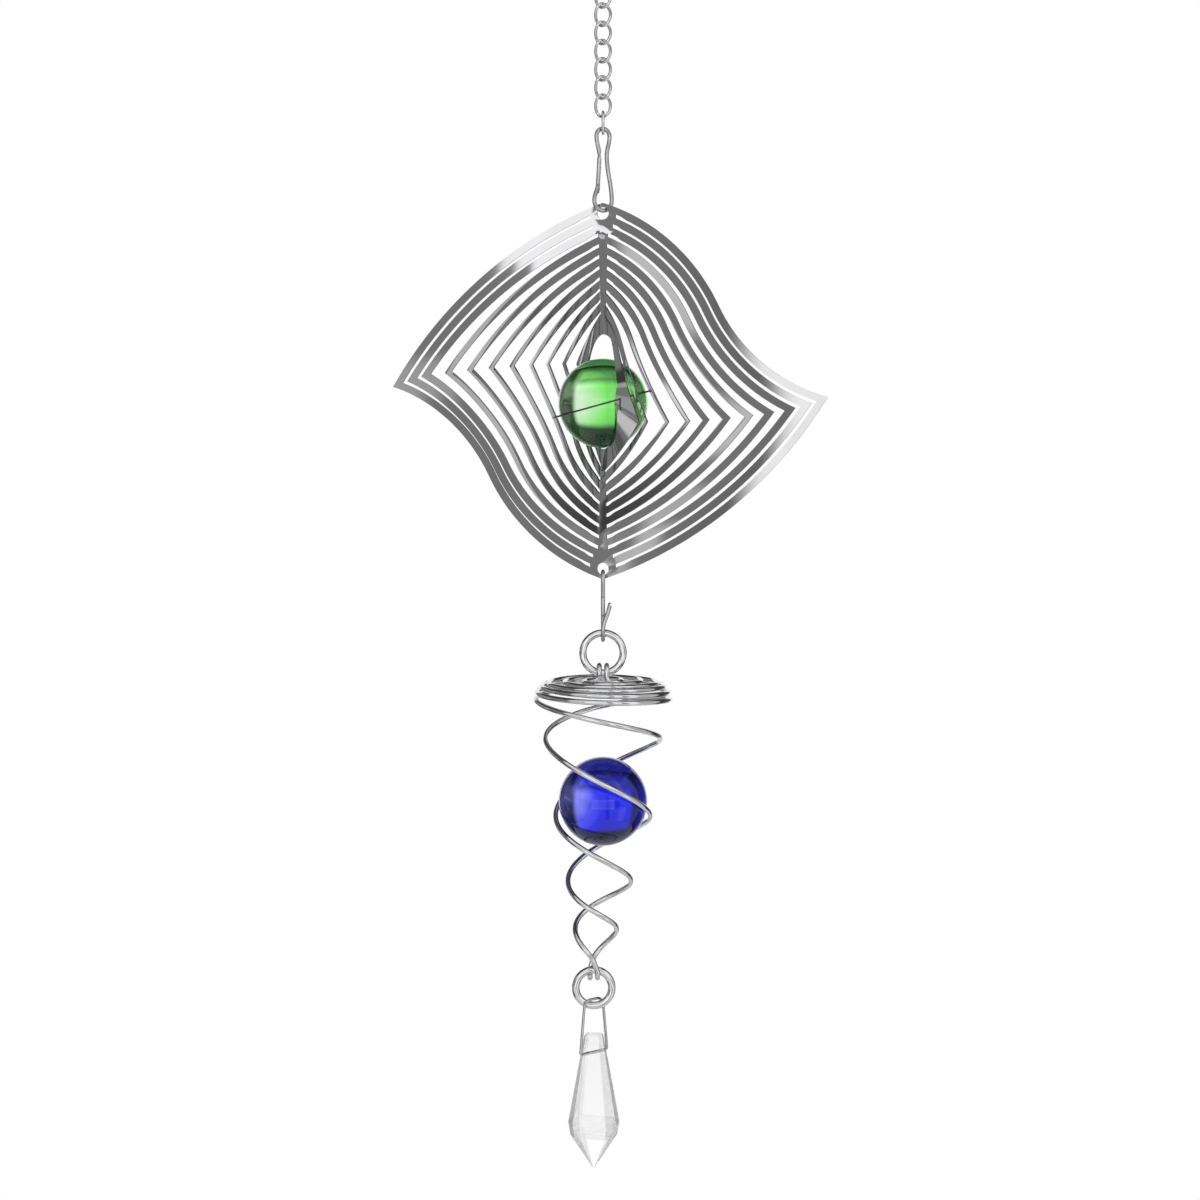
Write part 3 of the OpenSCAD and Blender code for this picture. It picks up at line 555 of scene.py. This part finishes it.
# Green ball: a solid glass marble that lies loose on the foot of the sheet's middle opening, with faint
# streaks of deeper colour.
def marble(name, centre, r, clear, deep, dark, highlight_fade):
    """Solid coloured glass with an uneven skin and faint streaks of deeper tint; pale on the left as a
    painted highlight, and darker to the top and bottom as a painted shade of the dark rim.
    """
    finish = bpy.data.materials.new(name)
    finish.use_nodes = True
    nodes, links = finish.node_tree.nodes, finish.node_tree.links
    shader = nodes["Principled BSDF"]
    shader.inputs["Transmission Weight"].default_value = 1
    shader.inputs["IOR"].default_value = 1.5
    shader.inputs["Roughness"].default_value = 0.01
    place = nodes.new("ShaderNodeTexCoord")
    set_in = nodes.new("ShaderNodeMapping")
    set_in.inputs["Location"].default_value = [-c * mm for c in centre]
    links.new(place.outputs["Object"], set_in.inputs["Vector"])
    streak = nodes.new("ShaderNodeTexNoise")
    streak.inputs["Scale"].default_value = 70
    streak.inputs["Detail"].default_value = 3
    links.new(set_in.outputs["Vector"], streak.inputs["Vector"])
    axes = nodes.new("ShaderNodeSeparateXYZ")
    links.new(set_in.outputs["Vector"], axes.inputs["Vector"])
    # Painted highlight: a pale tint on the left, going over to the deep tint towards the right.
    run = nodes.new("ShaderNodeMapRange")
    for end, x in zip(("From Min", "From Max"), highlight_fade):
        run.inputs[end].default_value = x * mm
    links.new(axes.outputs["X"], run.inputs["Value"])
    tree = finish.node_tree
    streaks_and_highlight = sum_up(tree, "MULTIPLY_ADD", streak.outputs["Fac"], 0.2, run.outputs["Result"])
    # Painted shade: darker towards the top and bottom, for the glass's dark rim.
    height = sum_up(tree, "MULTIPLY", axes.outputs["Z"], axes.outputs["Z"])
    shade_and_highlight = sum_up(tree, "MULTIPLY_ADD", height, 1 / (8 * mm) ** 2, streaks_and_highlight)
    tone = nodes.new("ShaderNodeValToRGB")
    # The ramp runs from the pale painted highlight through the glass's own deep tint to the dark painted
    # shade.
    tone.color_ramp.elements[0].position, tone.color_ramp.elements[1].position = 0.05, 1.0
    tone.color_ramp.elements[0].color = (*clear, 1)
    tone.color_ramp.elements[1].color = (*dark, 1)
    tone.color_ramp.elements.new(0.5).color = (*deep, 1)
    links.new(sum_up(tree, "MULTIPLY", shade_and_highlight, 0.5), tone.inputs["Fac"])
    links.new(tone.outputs["Color"], shader.inputs["Base Color"])
    ripple = nodes.new("ShaderNodeBump")
    ripple.inputs["Strength"].default_value = 0.08
    ripple.inputs["Distance"].default_value = 0.0004
    links.new(streak.outputs["Fac"], ripple.inputs["Height"])
    links.new(ripple.outputs["Normal"], shader.inputs["Normal"])
    form = bmesh.new()
    bmesh.ops.create_uvsphere(form, u_segments=96, v_segments=64, radius=r * mm)
    bmesh.ops.translate(form, verts=form.verts, vec=[c * mm for c in centre])
    ball = bpy.data.meshes.new(name)
    form.to_mesh(ball)
    return ball, finish


ball_r = 12.5
# Green glass, painted pale on the left as a highlight and dark at top and bottom as shade.
ball, green_glass = marble("green_glass", (0, 0, sheet_z + ball_mid), ball_r, clear=(0.86, 0.95, 0.84),
                           deep=(0.20, 0.82, 0.13), dark=(0.05, 0.16, 0.07), highlight_fade=(-6, 1.5))
fitted("green_marble", [ball], green_glass, "green_ball", "green_glass", "green_ball", smooth=180)


# Keeper: a thin dark spring wire bent round the ball's front, left and back and run through the inner
# ring, so that the ball can't roll out. It slopes down to the left.
keeper_r, keeper_thick, keeper_drop, keeper_tilt = 14.496, 0.5, 0.2, -15.5
keeper_start, keeper_sweep = -2, 236
keeper = [(keeper_r * math.cos(t), keeper_r * math.sin(t), 0)
          for t in [math.radians(keeper_start - keeper_sweep * i / 120) for i in range(121)]]
loop = bent_wire("keeper", keeper, keeper_thick, sides=12)
loop.transform(Matrix.Translation((0, 0, (sheet_z + ball_mid - keeper_drop) * mm))
               @ Matrix.Rotation(math.radians(keeper_tilt), 4, "Y"))
dark_wire = steel("dark_wire", (0.09, 0.08, 0.09), (0.15, 0.14, 0.15), 0.25, 0.4, 700)
fitted("keeper_wire", [loop], dark_wire, "spinner", "spring_steel", "ball_keeper_wire")


# Tail: two equal polished wires, half a turn apart. Each has an eye on the top ring, winds outwards
# into a flat coil, then narrows down round the blue ball to an eye on the bottom ring.
tail_z, tail_drop, tail_thick, coil_r, coil_drop, tail_lean = -224.132, 84.4, 1.5, 18.9, 7.35, -2.6
turn_r = [coil_r * s for s in (0.265, 0.561, 0.799, 0.907, 0.979, 1, 0.857, 0.704, 0.466, 0.302, -0.048)]
turn_drop = ([coil_drop - w * tail_thick for w in (3.3, 3.28, 3.03, 2.47, 1.4, 0)]
             + [h * tail_drop for h in (0.222, 0.485, 0.706, 0.872, 1.06)])


def smooth_run(row, x):
    """Even curve through a row of values that never swings past them."""
    def slope_at(i):
        if i <= 0:
            return row[1] - row[0]
        if i >= len(row) - 1:
            return row[i] - row[i - 1]
        a, b = row[i] - row[i - 1], row[i + 1] - row[i]
        return 2 * a * b / (a + b) if a * b > 0 else 0
    i = max(0, min(len(row) - 2, math.floor(x)))
    u, v, p, q = x - i, row[i + 1] - row[i], slope_at(i), slope_at(i + 1)
    return row[i] + u * (p + u * (3 * v - 2 * p - q + u * (p + q - 2 * v)))


def turn_at(n):
    """Point of the coil n half turns below its widest; the rows begin five half turns above that."""
    r, a = smooth_run(turn_r, n + 5), math.pi * (1 + n)
    return Vector((r * math.cos(a), r * math.sin(a), -smooth_run(turn_drop, n + 5)))


ring_r, ring_thick, low_ring_r, low_ring_thick, eye_side, eye_gap = 5.65, 2.1, 5.1, 2.2, 1.05, 0.3
eye_r, low_eye_r = [(thick + tail_thick) / 2 + eye_gap for thick in (ring_thick, low_ring_thick)]
eye_z = ring_r - math.sqrt(ring_r ** 2 - eye_side ** 2)
low_eye_z = math.sqrt(low_ring_r ** 2 - eye_side ** 2) - low_ring_r - tail_drop
low_eye = Vector((tail_lean, 0, low_eye_z))
first_turn, lean_turn, last_turn = -5.15, 2, 4.5
tail_steel = steel("tail_wire", (0.66, 0.66, 0.67), (0.80, 0.80, 0.81), 0.05, 0.14, 300)
for name, half_turn in (("a", 0), ("b", math.pi)):
    spin = Matrix.Rotation(half_turn, 3, "Z")
    path = [spin @ Vector((eye_side, eye_r, eye_z - tail_thick))]
    path += [spin @ Vector((eye_side, -eye_r * math.sin(a), eye_z + eye_r * math.cos(a)))
             for a in [math.radians(-90 + 7.5 * i) for i in range(25)]]
    path += [spin @ Vector((eye_side + tail_thick * (1 - math.cos(a)), -eye_r - a / 15.7,
                            turn_at(first_turn).z + tail_thick * (1 - math.sin(a))))
             for a in [math.radians(15 * i) for i in range(7)]]
    for n in down(first_turn, last_turn, 560):
        aside = tail_lean * max(0, n - lean_turn) / (last_turn - lean_turn)
        path.append(spin @ turn_at(n) + Vector((aside, 0, 0)))
    path += [spin @ Vector((eye_side, -low_eye_r * math.sin(a), low_eye_r * math.cos(a))) + low_eye
             for a in [math.radians(90 + 7.5 * i) for i in range(25)]]
    wire = bent_wire("tail", [p + Vector((0, 0, tail_z)) for p in path], tail_thick, sides=16)
    fitted(f"tail_spiral_{name}", [wire], tail_steel, "tail", "tail_steel", f"tail_wire_{name}")


# Tail rings: two plain rings of thick polished wire, butted and polished over. The top one hangs in
# the lower clip and carries both tail wires; the bottom one hangs in their lower eyes.
tail_rings = [("top", 0, -218.482, ring_r, ring_thick),
              ("bottom", tail_lean, -313.632, low_ring_r, low_ring_thick)]
for name, x, z, r, thick in tail_rings:
    ring = bent_wire("ring", arc((x, z), r, 0, 360, 128)[:-1], thick, closed=True, sides=28)
    fitted(f"{name}_ring", [ring], polished_wire, f"{name}_ring", "polished_steel", f"tail_{name}_ring")


# Blue ball: a second glass marble of the same size, loose in the narrowing part of the tail. The two
# wires hold it from both sides.
blue_drop = 36.3
# Blue glass, painted pale on the left as a highlight and dark at top and bottom as shade.
ball, blue_glass = marble("blue_glass", (0, 0, tail_z - blue_drop), ball_r, clear=(0.45, 0.48, 0.92),
                          deep=(0.012, 0.018, 0.86), dark=(0.012, 0.016, 0.14), highlight_fade=(-6, 0))
fitted("blue_marble", [ball], blue_glass, "blue_ball", "blue_glass", "blue_ball", smooth=180)


# Bail: a thin wire bent over the bottom ring. Its two ends turn in and meet as the pin on which the
# crystal hangs.
def eased(path, reach, steps=8):
    """Rounds off the corners of a closed path of points."""
    run = []
    for i, spot in enumerate(path):
        before, after = path[i - 1], path[(i + 1) % len(path)]
        a = spot + (before - spot).normalized() * min(reach, (before - spot).length / 2)
        b = spot + (after - spot).normalized() * min(reach, (after - spot).length / 2)
        run += [a.lerp(spot, u).lerp(spot.lerp(b, u), u) for u in down(0, 1, steps)]
    return run


bail_top, pin_z, bail_thick, bail_turn = -316.882, -332.082, 0.8, 40
right_leg = [(2.0, bail_top), (3.4, bail_top - 1.2), (4.9, pin_z)]
corners = [Vector((x, 0, z)) for x, z in right_leg + [(-x, z) for x, z in reversed(right_leg)]]
bail = bent_wire("bail", eased(corners, bail_thick), bail_thick, closed=True, sides=14)
bail.transform(Matrix.Translation((tail_lean * mm, 0, 0)) @ Matrix.Rotation(math.radians(bail_turn), 4, "Z"))
fitted("bail", [bail], spring_wire, "bail", "spring_steel", "crystal_bail")


# Crystal drop: clear cut glass with eight long facets above a narrow girdle and eight short ones to
# the point below, drilled through its head for the bail's pin. All edges are finely polished off.
girdle = [(7, 2), (4.8, 5.5), (-4.8, 5.5), (-7, 2), (-7, -2), (-4.8, -5.5), (4.8, -5.5), (7, -2)]
tip_level, tip_size, crystal_turn, pin_hole_r, edge_w = -33.4, 0.03, -14, 0.46, 0.14
form = bmesh.new()
size_now, level_now = tip_size, tip_level  # as a share of the girdle, and in millimetres above the pin
top_face = form.faces.new([form.verts.new((x * tip_size * mm, y * tip_size * mm, tip_level * mm))
                           for x, y in girdle])
for level, size in ((-23.7, 0.914), (-20.0, 1.0), (5.1, 5.2 / 14)):
    grown = bmesh.ops.extrude_face_region(form, geom=[top_face])["geom"]
    top_face = [g for g in grown if isinstance(g, bmesh.types.BMFace)][0]
    bmesh.ops.scale(form, verts=top_face.verts, vec=(size / size_now, size / size_now, 1))
    bmesh.ops.translate(form, verts=top_face.verts, vec=(0, 0, (level - level_now) * mm))
    size_now, level_now = size, level
bmesh.ops.recalc_face_normals(form, faces=form.faces)
bmesh.ops.rotate(form, verts=form.verts, cent=(0, 0, 0),
                 matrix=Matrix.Rotation(math.radians(crystal_turn), 3, "Z"))
bmesh.ops.translate(form, verts=form.verts, vec=(tail_lean * mm, 0, pin_z * mm))
drop_mesh = bpy.data.meshes.new("crystal")
form.to_mesh(drop_mesh)
drop = bpy.data.objects.new("crystal", drop_mesh)
bpy.context.scene.collection.objects.link(drop)
bevel = drop.modifiers.new("edges", "BEVEL")
bevel.width, bevel.segments, bevel.limit_method = edge_w * mm, 1, "ANGLE"
bevel.angle_limit = math.radians(8)
pin_drill = drilled(drop, pin_hole_r, depth=14, tipped="Y", turn=bail_turn, place=(tail_lean, 0, pin_z),
                    sides=32)
cut = finished(drop, [pin_drill])
bpy.data.objects.remove(drop)
clear_crystal = bpy.data.materials.new("clear_crystal")
clear_crystal.use_nodes = True
nodes, links = clear_crystal.node_tree.nodes, clear_crystal.node_tree.links
shader = nodes["Principled BSDF"]
shader.inputs["Transmission Weight"].default_value = 1
shader.inputs["IOR"].default_value = 1.5
shader.inputs["Alpha"].default_value = 0.52
place = nodes.new("ShaderNodeTexCoord")
wisp = nodes.new("ShaderNodeTexNoise")
wisp.inputs["Scale"].default_value = 150
links.new(place.outputs["Object"], wisp.inputs["Vector"])
tone = nodes.new("ShaderNodeValToRGB")
tone.color_ramp.elements[0].color = (0.95, 0.96, 0.97, 1)
tone.color_ramp.elements[1].color = (0.99, 0.99, 1.0, 1)
links.new(wisp.outputs["Fac"], tone.inputs["Fac"])
links.new(tone.outputs["Color"], shader.inputs["Base Color"])
gloss = nodes.new("ShaderNodeMapRange")
gloss.inputs["To Min"].default_value, gloss.inputs["To Max"].default_value = 0.0, 0.04
links.new(wisp.outputs["Fac"], gloss.inputs["Value"])
links.new(gloss.outputs["Result"], shader.inputs["Roughness"])
fitted("crystal", [cut], clear_crystal, "crystal", "clear_crystal", "crystal_drop", smooth=5)
